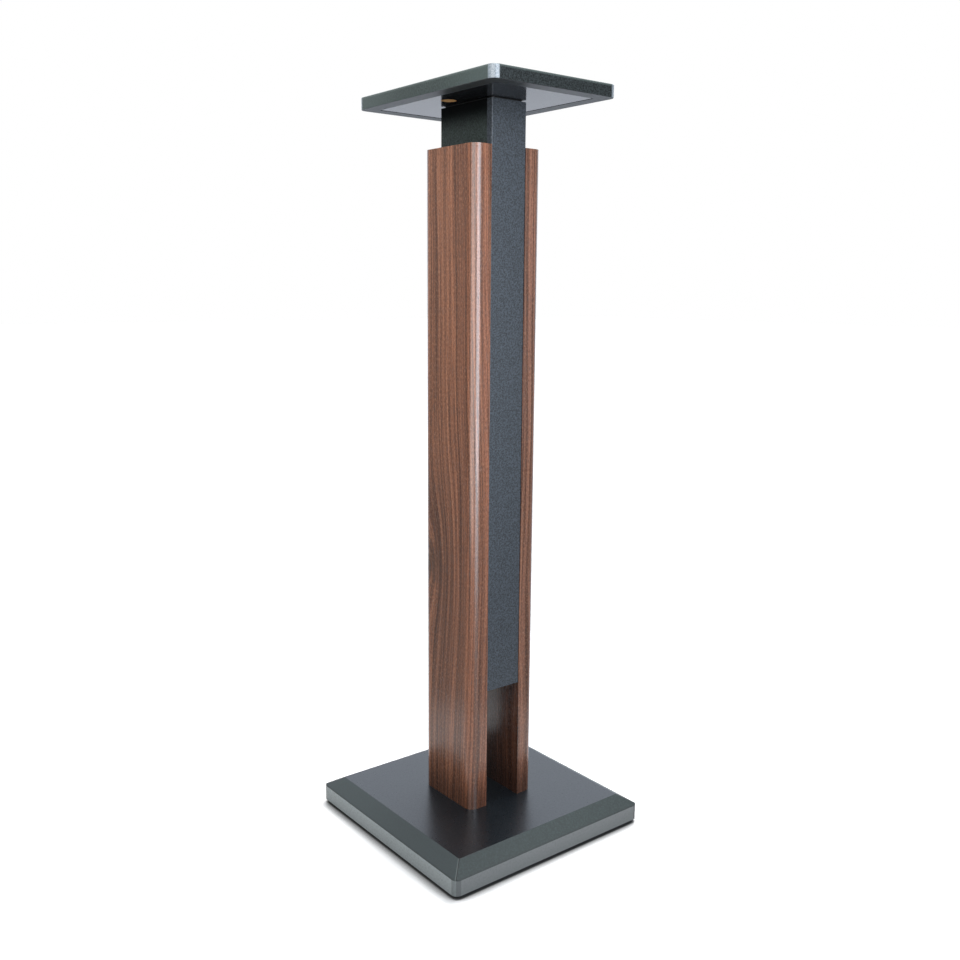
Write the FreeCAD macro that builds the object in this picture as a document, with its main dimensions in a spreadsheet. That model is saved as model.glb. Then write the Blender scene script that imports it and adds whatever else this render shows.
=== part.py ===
import FreeCAD, Part
import os
import Sketcher

# A floor-standing speaker stand: a bevelled base board on four screw-in
# levelling feet, a column of two rounded side panels with a hollow cable
# channel held between them, and a thin platform on top.
# Millimetres.  The origin is on the floor, on the column's axis, and +Z is up.
# The channel's closed front faces -Y and its removable rear cover faces +Y.

doc = FreeCAD.newDocument("speaker_stand")
sheet = doc.addObject("Spreadsheet::Sheet", "Sizes")

SIZES = {
    # base board
    "base_width": 298.0,
    "base_depth": 298.0,
    "base_thick": 32.0,
    "base_corner_radius": 8.0,
    "bevel_width": 20.5,
    "bevel_height": 12.5,
    # side panels
    "panel_thick": 26.0,
    "panel_depth": 99.0,
    "panel_length": 811.0,
    "panel_edge_radius": 12.0,
    # cable channel between the side panels
    "channel_width": 50.8,
    "channel_setback": 0.5,
    "channel_lift": 154.0,
    "channel_rise": 50.5,
    "channel_wall": 9.0,
    "channel_edge_radius": 0.8,
    "cover_thick": 9.0,
    "cover_gap": 0.3,
    "top_block_height": 30.0,
    "bottom_block_height": 20.0,
    "outlet_width": 22.0,
    "outlet_depth": 50.0,
    "outlet_corner_radius": 6.0,
    "inlet_width": 22.0,
    "inlet_height": 40.0,
    "inlet_corner_radius": 10.0,
    "inlet_drop": 90.0,
    # platform
    "fixing_plate_thick": 1.3,
    "fixing_plate_inset": 3.0,
    "fixing_plate_corner_radius": 3.0,
    "platform_width": 181.0,
    "platform_depth": 262.0,
    "platform_thick": 14.5,
    "platform_corner_radius": 9.5,
    "platform_edge_radius": 1.0,
    "underside_border": 19.0,
    "backing_thick": 2.0,
    "backing_recess": 0.3,
    "backing_gap": 0.3,
    "locating_hole_radius": 9.0,
    "locating_hole_depth": 9.0,
    "locating_hole_x": 45.0,
    "locating_hole_y": 7.0,
    # base bolts, which run up into the side panels
    "base_bolt_radius": 4.0,
    "base_bolt_bite": 22.0,
    "base_bolt_head_radius": 6.5,
    "base_bolt_head_height": 5.0,
    "base_bolt_socket": 5.0,
    "base_bolt_pitch": 44.0,
    "base_washer_radius": 8.0,
    "base_washer_thick": 1.6,
    "counterbore_radius": 9.5,
    "counterbore_depth": 10.0,
    "base_insert_radius": 6.0,
    "base_insert_length": 25.0,
    # dowels between base board and side panels
    "dowel_radius": 4.0,
    "dowel_in_base": 15.0,
    "dowel_in_panel": 25.0,
    "dowel_pitch": 74.0,
    "dowel_chamfer": 1.0,
    # the smaller bolts: channel to side panels, and channel to platform
    "bolt_radius": 3.0,
    "bolt_head_radius": 5.25,
    "bolt_head_height": 3.3,
    "bolt_socket": 4.0,
    "bolt_socket_depth": 2.0,
    "washer_radius": 6.0,
    "washer_thick": 1.2,
    "insert_radius": 4.5,
    "side_bolt_bite": 11.0,
    "side_insert_length": 13.0,
    "side_bolt_margin": 60.0,
    "top_bolt_bite": 8.0,
    "top_insert_length": 9.0,
    "top_bolt_margin": 7.4,
    "top_bolt_pitch": 40.0,
    # countersunk screws that hold the rear cover to the blocks
    "screw_radius": 2.0,
    "screw_head_radius": 4.0,
    "screw_recess_width": 0.9,
    "screw_recess_depth": 1.5,
    "cover_screw_bite": 11.0,
    "cover_screw_margin": 7.4,
    # clearances
    "bolt_clearance": 0.4,
    "thread_clearance": 0.05,
    "running_gap": 0.3,
    # levelling feet
    "foot_inset": 32.0,
    "foot_radius": 15.0,
    "foot_taper": 3.0,
    "foot_rim": 1.6,
    "pad_thick": 3.2,
    "sole_thick": 1.5,
    "sole_round": 0.5,
    "stem_radius": 3.0,
    "stem_length": 18.0,
    "stem_chamfer": 0.8,
    "stem_head_radius": 5.0,
    "stem_head_thick": 1.4,
    "collar_flats": 10.0,
    "collar_height": 3.0,
    "foot_recess_radius": 9.0,
    "foot_recess_depth": 5.0,
    "foot_insert_radius": 4.5,
    "foot_insert_length": 13.0,
    "foot_flange_thick": 1.2,
    "foot_flange_clearance": 0.5,
    "stem_hole_clearance": 0.5,
    "stem_hole_spare": 2.0,
}

for row, (alias, value) in enumerate(SIZES.items(), start=1):
    sheet.set(f"A{row}", alias)
    sheet.set(f"B{row}", str(value))
    sheet.setAlias(f"B{row}", alias)
doc.recompute()

# Heights and places that follow from the sizes, as expressions on the sheet.
BASE_BOTTOM = "(Sizes.sole_thick + Sizes.pad_thick + Sizes.running_gap)"
BASE_TOP = f"({BASE_BOTTOM} + Sizes.base_thick)"
PANEL_TOP = f"({BASE_TOP} + Sizes.panel_length)"
CHANNEL_BOTTOM = f"({BASE_TOP} + Sizes.channel_lift)"
CHANNEL_TOP = f"({PANEL_TOP} + Sizes.channel_rise)"
CHANNEL_LENGTH = "(Sizes.panel_length - Sizes.channel_lift + Sizes.channel_rise)"
BACKING_BOTTOM = f"({CHANNEL_TOP} + Sizes.fixing_plate_thick)"
PLATFORM_BOTTOM = f"({BACKING_BOTTOM} - Sizes.backing_recess)"
PLATFORM_POCKET = "(Sizes.backing_recess + Sizes.backing_thick)"

PANEL_INNER = "(Sizes.channel_width / 2)"
PANEL_CENTRE = "((Sizes.channel_width + Sizes.panel_thick) / 2)"
CHANNEL_FRONT = "(Sizes.channel_setback - Sizes.panel_depth / 2)"
CHANNEL_REAR = "(Sizes.panel_depth / 2 - Sizes.channel_setback)"
DUCT_SIDE = "(Sizes.channel_width / 2 - Sizes.channel_wall)"
DUCT_FRONT = f"({CHANNEL_FRONT} + Sizes.channel_wall)"
DUCT_REAR = f"({CHANNEL_REAR} - Sizes.cover_thick)"
SIDE_BOLT_LOW = f"({CHANNEL_BOTTOM} + Sizes.side_bolt_margin)"
SIDE_BOLT_HIGH = f"({PANEL_TOP} - Sizes.side_bolt_margin)"
SIDE_BOLT_MIDDLE = f"(({SIDE_BOLT_LOW} + {SIDE_BOLT_HIGH}) / 2)"
SIDE_BOLT_HEIGHTS = (SIDE_BOLT_LOW, SIDE_BOLT_MIDDLE, SIDE_BOLT_HIGH)

BOLT_HOLE = "(Sizes.bolt_radius + Sizes.bolt_clearance)"
BASE_BOLT_HOLE = "(Sizes.base_bolt_radius + Sizes.bolt_clearance)"
SCREW_HEAD_HEIGHT = "(Sizes.screw_head_radius - Sizes.screw_radius)"
COVER_SCREW_X = f"({DUCT_SIDE} - Sizes.cover_screw_margin)"
COVER_SCREW_LOW = "(Sizes.bottom_block_height / 2)"
COVER_SCREW_HIGH = f"({CHANNEL_LENGTH} - Sizes.top_block_height / 2)"

FOOT_X = "(Sizes.base_width / 2 - Sizes.foot_inset)"
FOOT_Y = "(Sizes.base_depth / 2 - Sizes.foot_inset)"
PAD_TOP = "(Sizes.sole_thick + Sizes.pad_thick)"
STEM_HEAD_TOP = "(Sizes.sole_thick + Sizes.running_gap + Sizes.stem_head_thick)"
SOCKET_ROOF = f"({STEM_HEAD_TOP} + Sizes.running_gap)"
COLLAR_TOP = f"({BASE_BOTTOM} + Sizes.collar_height)"
STEM_TOP = f"({COLLAR_TOP} + Sizes.stem_length)"
STEM_HOLE_DEPTH = f"({STEM_TOP} - {BASE_BOTTOM} + Sizes.stem_hole_spare)"

SIGNS = (-1, 1)
X_AXIS = FreeCAD.Vector(1, 0, 0)
Y_AXIS = FreeCAD.Vector(0, 1, 0)
Z_AXIS = FreeCAD.Vector(0, 0, 1)

TOLERANCE = 1e-4

subparts = []


def number(expression):
    return float(sheet.evalExpression(expression))


def place(item, x="0", y="0", z="0"):
    for axis, expression in (("x", x), ("y", y), ("z", z)):
        item.setExpression(f"Placement.Base.{axis}", expression)


def four_places(x, y):
    return [(f"{sx} * {x}", f"{sy} * {y}") for sx in SIGNS for sy in SIGNS]


def keep(item, label):
    item.Label = label
    subparts.append(item)
    return item


# Sketches and features of a body ------------------------------------------------

def new_body(name, x="0", y="0", z="0"):
    body = doc.addObject("PartDesign::Body", name)
    place(body, x, y, z)
    return body


def new_sketch(body, name, plane, offset):
    sketch = body.newObject("Sketcher::SketchObject", name)
    support = next(item for item in body.Origin.OriginFeatures if item.Role == plane)
    sketch.AttachmentSupport = (support, [""])
    sketch.MapMode = "FlatFace"
    sketch.setExpression("AttachmentOffset.Base.z", offset)
    return sketch


def bind(sketch, kind, first, name, expression):
    index = sketch.addConstraint(Sketcher.Constraint(kind, *first, number(expression)))
    sketch.renameConstraint(index, name)
    sketch.setExpression(f"Constraints.{name}", expression)


def polygon(sketch, corners):
    """Closed straight-sided loops whose corners are pairs of expressions."""
    first = sketch.GeometryCount
    count = len(corners)
    spots = [FreeCAD.Vector(number(x), number(y), 0) for x, y in corners]
    for index in range(count):
        sketch.addGeometry(Part.LineSegment(spots[index], spots[(index + 1) % count]), False)
    for index in range(count):
        line = first + index
        following = first + (index + 1) % count
        sketch.addConstraint(Sketcher.Constraint("Coincident", line, 2, following, 1))
    for index, (x, y) in enumerate(corners):
        line = first + index
        bind(sketch, "DistanceX", (-1, 1, line, 1), f"x{line}", x)
        bind(sketch, "DistanceY", (-1, 1, line, 1), f"y{line}", y)
    return sketch


def rectangle(sketch, x_low, x_high, y_low, y_high):
    corners = [(x_low, y_low), (x_high, y_low), (x_high, y_high), (x_low, y_high)]
    return polygon(sketch, corners)


def centred_rectangle(sketch, width, depth):
    return rectangle(sketch, f"-{width} / 2", f"{width} / 2", f"-{depth} / 2", f"{depth} / 2")


def circles(sketch, radius, centres):
    for x, y in centres:
        circle = sketch.GeometryCount
        middle = FreeCAD.Vector(number(x), number(y), 0)
        sketch.addGeometry(Part.Circle(middle, Z_AXIS, number(radius)), False)
        bind(sketch, "DistanceX", (-1, 1, circle, 3), f"x{circle}", x)
        bind(sketch, "DistanceY", (-1, 1, circle, 3), f"y{circle}", y)
        bind(sketch, "Radius", (circle,), f"r{circle}", radius)
    return sketch


def pad(body, name, sketch, length):
    feature = body.newObject("PartDesign::Pad", name)
    feature.Profile = sketch
    feature.setExpression("Length", length)
    sketch.Visibility = False
    return feature


def pocket(body, name, sketch, depth, along_normal):
    feature = body.newObject("PartDesign::Pocket", name)
    feature.Profile = sketch
    feature.setExpression("Length", depth)
    feature.Reversed = along_normal
    sketch.Visibility = False
    return feature


def drill_up(body, name, radius, centres, depth, start="0"):
    sketch = circles(new_sketch(body, f"{name}_sketch", "XY_Plane", start), radius, centres)
    return pocket(body, name, sketch, depth, True)


def drill_down(body, name, radius, centres, depth, start):
    sketch = circles(new_sketch(body, f"{name}_sketch", "XY_Plane", start), radius, centres)
    return pocket(body, name, sketch, depth, False)


def edges(feature, wanted):
    doc.recompute()
    return [f"Edge{i}" for i, edge in enumerate(feature.Shape.Edges, start=1) if wanted(edge)]


def dress(body, kind, name, feature, wanted, **sizes):
    """A fillet or chamfer on the edges of a feature that meet the test."""
    names = edges(feature, wanted)
    item = body.newObject(f"PartDesign::{kind}", name)
    item.Base = (feature, names)
    for key, expression in sizes.items():
        item.setExpression(key, expression)
    return item


def vertical(edge):
    box = edge.BoundBox
    return box.XLength < TOLERANCE and box.YLength < TOLERANCE


def along_y(edge):
    box = edge.BoundBox
    return box.XLength < TOLERANCE and box.ZLength < TOLERANCE


def level_at(height):
    def test(edge):
        box = edge.BoundBox
        return abs(box.ZMin - height) < TOLERANCE and abs(box.ZMax - height) < TOLERANCE
    return test


def turned(name, points):
    """A body turned about its own Z axis; points are (radius, height) expressions."""
    body = new_body(name)
    profile = polygon(new_sketch(body, f"{name}_profile", "XZ_Plane", "0"), points)
    feature = body.newObject("PartDesign::Revolution", f"{name}_turn")
    feature.Profile = profile
    feature.ReferenceAxis = (profile, ["V_Axis"])
    profile.Visibility = False
    return body


# Solids made from primitives ------------------------------------------------------

def cylinder(name, radius, height, z="0"):
    item = doc.addObject("Part::Cylinder", name)
    item.setExpression("Radius", radius)
    item.setExpression("Height", height)
    place(item, z=z)
    return item


def hexagon(name, across_flats, height, z="0"):
    item = doc.addObject("Part::Prism", name)
    item.Polygon = 6
    item.setExpression("Circumradius", f"{across_flats} / sqrt(3)")
    item.setExpression("Height", height)
    place(item, z=z)
    return item


def fuse(name, shapes):
    item = doc.addObject("Part::MultiFuse", name)
    item.Shapes = shapes
    return item


def cut(name, base, tool):
    item = doc.addObject("Part::Cut", name)
    item.Base = base
    item.Tool = tool
    return item


def ring(name, outer, inner, height):
    return cut(name, cylinder(f"{name}_outside", outer, height), cylinder(f"{name}_bore", inner, height))


def socket_bolt(name, radius, length, head_radius, head_height, socket, socket_depth):
    """Bolt whose head seats at its origin and whose shank runs along +Z."""
    head = cylinder(f"{name}_head", head_radius, head_height, f"-{head_height}")
    shank = cylinder(f"{name}_shank", radius, length)
    drive = hexagon(f"{name}_socket", socket, socket_depth, f"-{head_height}")
    return cut(name, fuse(f"{name}_blank", [head, shank]), drive)


def countersunk_screw(name, bite):
    """Screw whose flat head face is at its origin and whose shank runs along +Z."""
    head = doc.addObject("Part::Cone", f"{name}_head")
    head.setExpression("Radius1", "Sizes.screw_head_radius")
    head.setExpression("Radius2", "Sizes.screw_radius")
    head.setExpression("Height", SCREW_HEAD_HEIGHT)
    shank = cylinder(f"{name}_shank", "Sizes.screw_radius", bite)
    slots = []
    for turn, (across, along) in enumerate((("screw_recess_width", "screw_head_radius"),
                                            ("screw_head_radius", "screw_recess_width"))):
        slot = doc.addObject("Part::Box", f"{name}_slot_{turn}")
        slot.setExpression("Length", f"Sizes.{across}")
        slot.setExpression("Width", f"Sizes.{along}")
        slot.setExpression("Height", "Sizes.screw_recess_depth")
        place(slot, f"-Sizes.{across} / 2", f"-Sizes.{along} / 2")
        slots.append(slot)
    blank = fuse(f"{name}_blank", [head, shank])
    return cut(name, blank, fuse(f"{name}_cross", slots))


def point(item, axis, angle):
    item.Placement = FreeCAD.Placement(FreeCAD.Vector(), FreeCAD.Rotation(axis, angle))
    return item


def group(label, items):
    compound = doc.addObject("Part::Compound", label)
    compound.Links = items
    return keep(compound, label)


# Base -------------------------------------------------------------------------------

BASE_BOLT_PLACES = four_places(PANEL_CENTRE, "Sizes.base_bolt_pitch / 2")
DOWEL_PLACES = four_places(PANEL_CENTRE, "Sizes.dowel_pitch / 2")
FOOT_PLACES = four_places(FOOT_X, FOOT_Y)


def bevel_profile(sketch, half_width):
    """One triangle at each end of a side view, along the board's upper edge."""
    for sign in SIGNS:
        edge = f"{sign} * {half_width}"
        inner = f"{sign} * ({half_width} - Sizes.bevel_width)"
        low = "Sizes.base_thick - Sizes.bevel_height"
        polygon(sketch, [(edge, low), (edge, "Sizes.base_thick"), (inner, "Sizes.base_thick")])
    return sketch


def base_board():
    body = new_body("base_board", z=BASE_BOTTOM)
    outline = new_sketch(body, "base_outline", "XY_Plane", "0")
    centred_rectangle(outline, "Sizes.base_width", "Sizes.base_depth")
    board = pad(body, "base_blank", outline, "Sizes.base_thick")
    dress(body, "Fillet", "base_corners", board, vertical, Radius="Sizes.base_corner_radius")
    # A sketch on XZ faces -Y and one on YZ faces +X: each starts on the side that
    # its cut leaves from, so that the cut runs the board's whole length.
    sides = new_sketch(body, "side_bevel_sketch", "XZ_Plane", "Sizes.base_depth / 2")
    bevel_profile(sides, "Sizes.base_width / 2")
    pocket(body, "side_bevels", sides, "Sizes.base_depth", False)
    ends = new_sketch(body, "end_bevel_sketch", "YZ_Plane", "Sizes.base_width / 2")
    bevel_profile(ends, "Sizes.base_depth / 2")
    pocket(body, "end_bevels", ends, "Sizes.base_width", False)
    drill_up(body, "counterbores", "Sizes.counterbore_radius", BASE_BOLT_PLACES,
             "Sizes.counterbore_depth")
    drill_up(body, "bolt_holes", BASE_BOLT_HOLE, BASE_BOLT_PLACES,
             "Sizes.base_thick - Sizes.counterbore_depth", "Sizes.counterbore_depth")
    drill_down(body, "dowel_holes", "Sizes.dowel_radius", DOWEL_PLACES,
               "Sizes.dowel_in_base", "Sizes.base_thick")
    drill_up(body, "foot_recesses", "Sizes.foot_recess_radius", FOOT_PLACES,
             "Sizes.foot_recess_depth")
    drill_up(body, "foot_insert_holes", "Sizes.foot_insert_radius", FOOT_PLACES,
             "Sizes.foot_insert_length", "Sizes.foot_recess_depth")
    drill_up(body, "stem_holes", "Sizes.stem_radius + Sizes.stem_hole_clearance", FOOT_PLACES,
             f"{STEM_HOLE_DEPTH} - Sizes.foot_recess_depth", "Sizes.foot_recess_depth")
    return keep(body, "base_board")


def base_fasteners():
    bolts = []
    washers = []
    inserts = []
    seat = f"({BASE_BOTTOM} + Sizes.counterbore_depth)"
    grip = "(Sizes.base_thick - Sizes.counterbore_depth + Sizes.base_washer_thick)"
    for index, (x, y) in enumerate(BASE_BOLT_PLACES):
        bolt = socket_bolt(f"base_bolt_{index}", "Sizes.base_bolt_radius",
                           f"{grip} + Sizes.base_bolt_bite", "Sizes.base_bolt_head_radius",
                           "Sizes.base_bolt_head_height", "Sizes.base_bolt_socket",
                           "Sizes.base_bolt_head_height / 2")
        place(bolt, x, y, f"{seat} - Sizes.base_washer_thick")
        washer = ring(f"base_washer_{index}", "Sizes.base_washer_radius", BASE_BOLT_HOLE,
                      "Sizes.base_washer_thick")
        place(washer, x, y, f"{seat} - Sizes.base_washer_thick")
        insert = ring(f"base_insert_{index}", "Sizes.base_insert_radius",
                      "Sizes.base_bolt_radius + Sizes.thread_clearance", "Sizes.base_insert_length")
        place(insert, x, y, BASE_TOP)
        bolts.append(bolt)
        washers.append(washer)
        inserts.append(insert)
    group("base_bolts", bolts)
    group("base_washers", washers)
    group("panel_bottom_inserts", inserts)


def dowels():
    pegs = []
    length = "(Sizes.dowel_in_base + Sizes.dowel_in_panel)"
    tip = "(Sizes.dowel_radius - Sizes.dowel_chamfer)"
    for index, (x, y) in enumerate(DOWEL_PLACES):
        peg = turned(f"dowel_{index}", [
            ("0", "0"), (tip, "0"), ("Sizes.dowel_radius", "Sizes.dowel_chamfer"),
            ("Sizes.dowel_radius", f"{length} - Sizes.dowel_chamfer"), (tip, length), ("0", length)])
        place(peg, x, y, f"{BASE_TOP} - Sizes.dowel_in_base")
        pegs.append(peg)
    group("base_dowels", pegs)


# Levelling feet -----------------------------------------------------------------------

def foot_inserts():
    inserts = []
    for index, (x, y) in enumerate(FOOT_PLACES):
        flange = cylinder(f"foot_flange_{index}",
                          "Sizes.foot_recess_radius - Sizes.foot_flange_clearance",
                          "Sizes.foot_flange_thick", "-Sizes.foot_flange_thick")
        barrel = cylinder(f"foot_barrel_{index}", "Sizes.foot_insert_radius",
                          "Sizes.foot_insert_length")
        bore = cylinder(f"foot_bore_{index}", "Sizes.stem_radius + Sizes.thread_clearance",
                        "Sizes.foot_insert_length + Sizes.foot_flange_thick",
                        "-Sizes.foot_flange_thick")
        insert = cut(f"foot_insert_{index}", fuse(f"foot_insert_blank_{index}", [flange, barrel]), bore)
        place(insert, x, y, f"{BASE_BOTTOM} + Sizes.foot_recess_depth")
        inserts.append(insert)
    group("foot_inserts", inserts)


def foot(corner, x, y):
    """Rubber sole and moulded pad, with a screw stem that turns in the pad's socket."""
    sole = turned(f"foot_{corner}_sole", [
        ("0", "0"), ("Sizes.foot_radius - Sizes.sole_round", "0"),
        ("Sizes.foot_radius", "Sizes.sole_round"), ("Sizes.foot_radius", "Sizes.sole_thick"),
        ("0", "Sizes.sole_thick")])
    socket = "(Sizes.stem_head_radius + Sizes.running_gap)"
    neck = "(Sizes.stem_radius + Sizes.thread_clearance)"
    pad_body = turned(f"foot_{corner}_pad", [
        (socket, "Sizes.sole_thick"), ("Sizes.foot_radius", "Sizes.sole_thick"),
        ("Sizes.foot_radius", "Sizes.sole_thick + Sizes.foot_rim"),
        ("Sizes.foot_radius - Sizes.foot_taper", PAD_TOP), (neck, PAD_TOP),
        (neck, SOCKET_ROOF), (socket, SOCKET_ROOF)])
    rod = turned(f"foot_{corner}_rod", [
        ("0", "Sizes.sole_thick + Sizes.running_gap"),
        ("Sizes.stem_head_radius", "Sizes.sole_thick + Sizes.running_gap"),
        ("Sizes.stem_head_radius", STEM_HEAD_TOP), ("Sizes.stem_radius", STEM_HEAD_TOP),
        ("Sizes.stem_radius", f"{STEM_TOP} - Sizes.stem_chamfer"),
        ("Sizes.stem_radius - Sizes.stem_chamfer", STEM_TOP), ("0", STEM_TOP)])
    collar = hexagon(f"foot_{corner}_collar", "Sizes.collar_flats", "Sizes.collar_height", BASE_BOTTOM)
    stem = fuse(f"foot_{corner}_stem", [rod, collar])
    for item, name in ((pad_body, "pad"), (sole, "sole"), (stem, "stem")):
        place(item, x, y)
        keep(item, f"foot_{corner}_{name}")


# Column ---------------------------------------------------------------------------------

def side_panel(side_name, side):
    body = new_body(f"{side_name}_side_panel", z=BASE_TOP)
    inner = f"{side} * {PANEL_INNER}"
    outer = f"{side} * ({PANEL_INNER} + Sizes.panel_thick)"
    outline = new_sketch(body, f"{side_name}_panel_outline", "XY_Plane", "0")
    rectangle(outline, inner, outer, "-Sizes.panel_depth / 2", "Sizes.panel_depth / 2")
    board = pad(body, f"{side_name}_panel_board", outline, "Sizes.panel_length")
    outer_x = number(outer)
    dress(body, "Fillet", f"{side_name}_panel_edges", board,
          lambda edge: vertical(edge) and abs(edge.BoundBox.XMin - outer_x) < TOLERANCE,
          Radius="Sizes.panel_edge_radius")
    bolt_places = [(f"{side} * {PANEL_CENTRE}", f"{sy} * Sizes.base_bolt_pitch / 2") for sy in SIGNS]
    peg_places = [(f"{side} * {PANEL_CENTRE}", f"{sy} * Sizes.dowel_pitch / 2") for sy in SIGNS]
    drill_up(body, f"{side_name}_bottom_insert_holes", "Sizes.base_insert_radius", bolt_places,
             "Sizes.base_insert_length")
    drill_up(body, f"{side_name}_dowel_holes", "Sizes.dowel_radius", peg_places,
             "Sizes.dowel_in_panel")
    # The sketch lies on the panel's inner face and its normal is +X.
    face = new_sketch(body, f"{side_name}_side_insert_sketch", "YZ_Plane", inner)
    circles(face, "Sizes.insert_radius", [("0", f"{z} - {BASE_TOP}") for z in SIDE_BOLT_HEIGHTS])
    pocket(body, f"{side_name}_side_insert_holes", face, "Sizes.side_insert_length", side > 0)
    return keep(body, f"{side_name}_side_panel")


def channel_front_board():
    body = new_body("channel_front_board", z=CHANNEL_BOTTOM)
    outline = new_sketch(body, "front_board_outline", "XY_Plane", "0")
    rectangle(outline, f"-{PANEL_INNER}", PANEL_INNER, CHANNEL_FRONT, DUCT_FRONT)
    board = pad(body, "front_board", outline, CHANNEL_LENGTH)
    front = number(CHANNEL_FRONT)
    dress(body, "Fillet", "front_board_edges", board,
          lambda edge: vertical(edge) and abs(edge.BoundBox.YMin - front) < TOLERANCE,
          Radius="Sizes.channel_edge_radius")
    return keep(body, "channel_front_board")


def channel_side_board(side_name, side):
    body = new_body(f"channel_{side_name}_board", z=CHANNEL_BOTTOM)
    outline = new_sketch(body, f"{side_name}_board_outline", "XY_Plane", "0")
    inner = f"{side} * {DUCT_SIDE}"
    outer = f"{side} * {PANEL_INNER}"
    rectangle(outline, inner, outer, DUCT_FRONT, CHANNEL_REAR)
    board = pad(body, f"{side_name}_board", outline, CHANNEL_LENGTH)
    corner = FreeCAD.Vector(number(outer), number(CHANNEL_REAR), 0)
    dress(body, "Fillet", f"{side_name}_board_edge", board,
          lambda edge: vertical(edge) and edge.Vertexes[0].Point.distanceToLine(corner, Z_AXIS) < TOLERANCE,
          Radius="Sizes.channel_edge_radius")
    face = new_sketch(body, f"{side_name}_board_hole_sketch", "YZ_Plane", inner)
    circles(face, BOLT_HOLE, [("0", f"{z} - {CHANNEL_BOTTOM}") for z in SIDE_BOLT_HEIGHTS])
    pocket(body, f"{side_name}_board_holes", face, "Sizes.channel_wall", side > 0)
    return keep(body, f"channel_{side_name}_board")


def duct_block(body, name, height):
    """Block that fills the channel's inside from side to side and front to cover."""
    outline = new_sketch(body, f"{name}_outline", "XY_Plane", "0")
    rectangle(outline, f"-{DUCT_SIDE}", DUCT_SIDE, DUCT_FRONT, DUCT_REAR)
    return pad(body, f"{name}_blank", outline, height)


def cover_screw_pilots(body, name, height):
    """Pilot holes that run forward from the block's rear face, seen on XZ."""
    sketch = new_sketch(body, f"{name}_pilot_sketch", "XZ_Plane", f"-{DUCT_REAR}")
    circles(sketch, "Sizes.screw_radius + Sizes.thread_clearance",
            [(f"{sx} * {COVER_SCREW_X}", f"{height} / 2") for sx in SIGNS])
    pocket(body, f"{name}_pilots", sketch, "Sizes.cover_screw_bite", True)


def channel_top_block():
    body = new_body("channel_top_block", z=f"{CHANNEL_TOP} - Sizes.top_block_height")
    duct_block(body, "top_block", "Sizes.top_block_height")
    drill_up(body, "top_bolt_holes", BOLT_HOLE, TOP_BOLT_PLACES, "Sizes.top_block_height")
    cover_screw_pilots(body, "top_block", "Sizes.top_block_height")
    return keep(body, "channel_top_block")


def channel_bottom_block():
    body = new_body("channel_bottom_block", z=CHANNEL_BOTTOM)
    block = duct_block(body, "bottom_block", "Sizes.bottom_block_height")
    sketch = new_sketch(body, "outlet_sketch", "XY_Plane", "0")
    centred_rectangle(sketch, "Sizes.outlet_width", "Sizes.outlet_depth")
    outlet = pocket(body, "outlet", sketch, "Sizes.bottom_block_height", True)
    reach = number("Sizes.outlet_width / 2") + TOLERANCE
    dress(body, "Fillet", "outlet_corners", outlet,
          lambda edge: vertical(edge) and abs(edge.BoundBox.XMin) < reach,
          Radius="Sizes.outlet_corner_radius")
    cover_screw_pilots(body, "bottom_block", "Sizes.bottom_block_height")
    return keep(body, "channel_bottom_block")


def channel_rear_cover():
    body = new_body("channel_rear_cover", z=CHANNEL_BOTTOM)
    outline = new_sketch(body, "cover_outline", "XY_Plane", "0")
    half = f"({DUCT_SIDE} - Sizes.cover_gap)"
    rectangle(outline, f"-{half}", half, DUCT_REAR, CHANNEL_REAR)
    pad(body, "cover_board", outline, CHANNEL_LENGTH)
    # Both sketches lie on the cover's rear face; a sketch on XZ faces -Y.
    inlet_sketch = new_sketch(body, "inlet_sketch", "XZ_Plane", f"-{CHANNEL_REAR}")
    top = f"({CHANNEL_LENGTH} - Sizes.inlet_drop + Sizes.inlet_height / 2)"
    rectangle(inlet_sketch, "-Sizes.inlet_width / 2", "Sizes.inlet_width / 2",
              f"{top} - Sizes.inlet_height", top)
    inlet = pocket(body, "inlet", inlet_sketch, "Sizes.cover_thick", True)
    low = number(f"{top} - Sizes.inlet_height") - TOLERANCE
    high = number(top) + TOLERANCE
    dress(body, "Fillet", "inlet_corners", inlet,
          lambda edge: along_y(edge) and low < edge.BoundBox.ZMin < high,
          Radius="Sizes.inlet_corner_radius")
    hole_sketch = new_sketch(body, "cover_hole_sketch", "XZ_Plane", f"-{CHANNEL_REAR}")
    places = [(f"{sx} * {COVER_SCREW_X}", z) for sx in SIGNS for z in (COVER_SCREW_LOW, COVER_SCREW_HIGH)]
    circles(hole_sketch, "Sizes.screw_radius + Sizes.thread_clearance", places)
    holes = pocket(body, "cover_holes", hole_sketch, "Sizes.cover_thick", True)
    rear = number(CHANNEL_REAR)
    radius = number("Sizes.screw_radius + Sizes.thread_clearance")
    dress(body, "Chamfer", "cover_countersinks", holes,
          lambda edge: is_rim(edge, radius) and abs(edge.BoundBox.YMin - rear) < TOLERANCE,
          Size=f"{SCREW_HEAD_HEIGHT} - Sizes.thread_clearance")
    return keep(body, "channel_rear_cover")


def is_rim(edge, radius):
    curve = edge.Curve
    return curve.TypeId == "Part::GeomCircle" and abs(curve.Radius - radius) < TOLERANCE


def cover_screws():
    screws = []
    for sx in SIGNS:
        for z in (COVER_SCREW_LOW, COVER_SCREW_HIGH):
            screw = countersunk_screw(f"cover_screw_{len(screws)}",
                                      "Sizes.cover_thick + Sizes.cover_screw_bite")
            point(screw, X_AXIS, 90)
            place(screw, f"{sx} * {COVER_SCREW_X}", CHANNEL_REAR, f"{CHANNEL_BOTTOM} + {z}")
            screws.append(screw)
    group("rear_cover_screws", screws)


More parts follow.
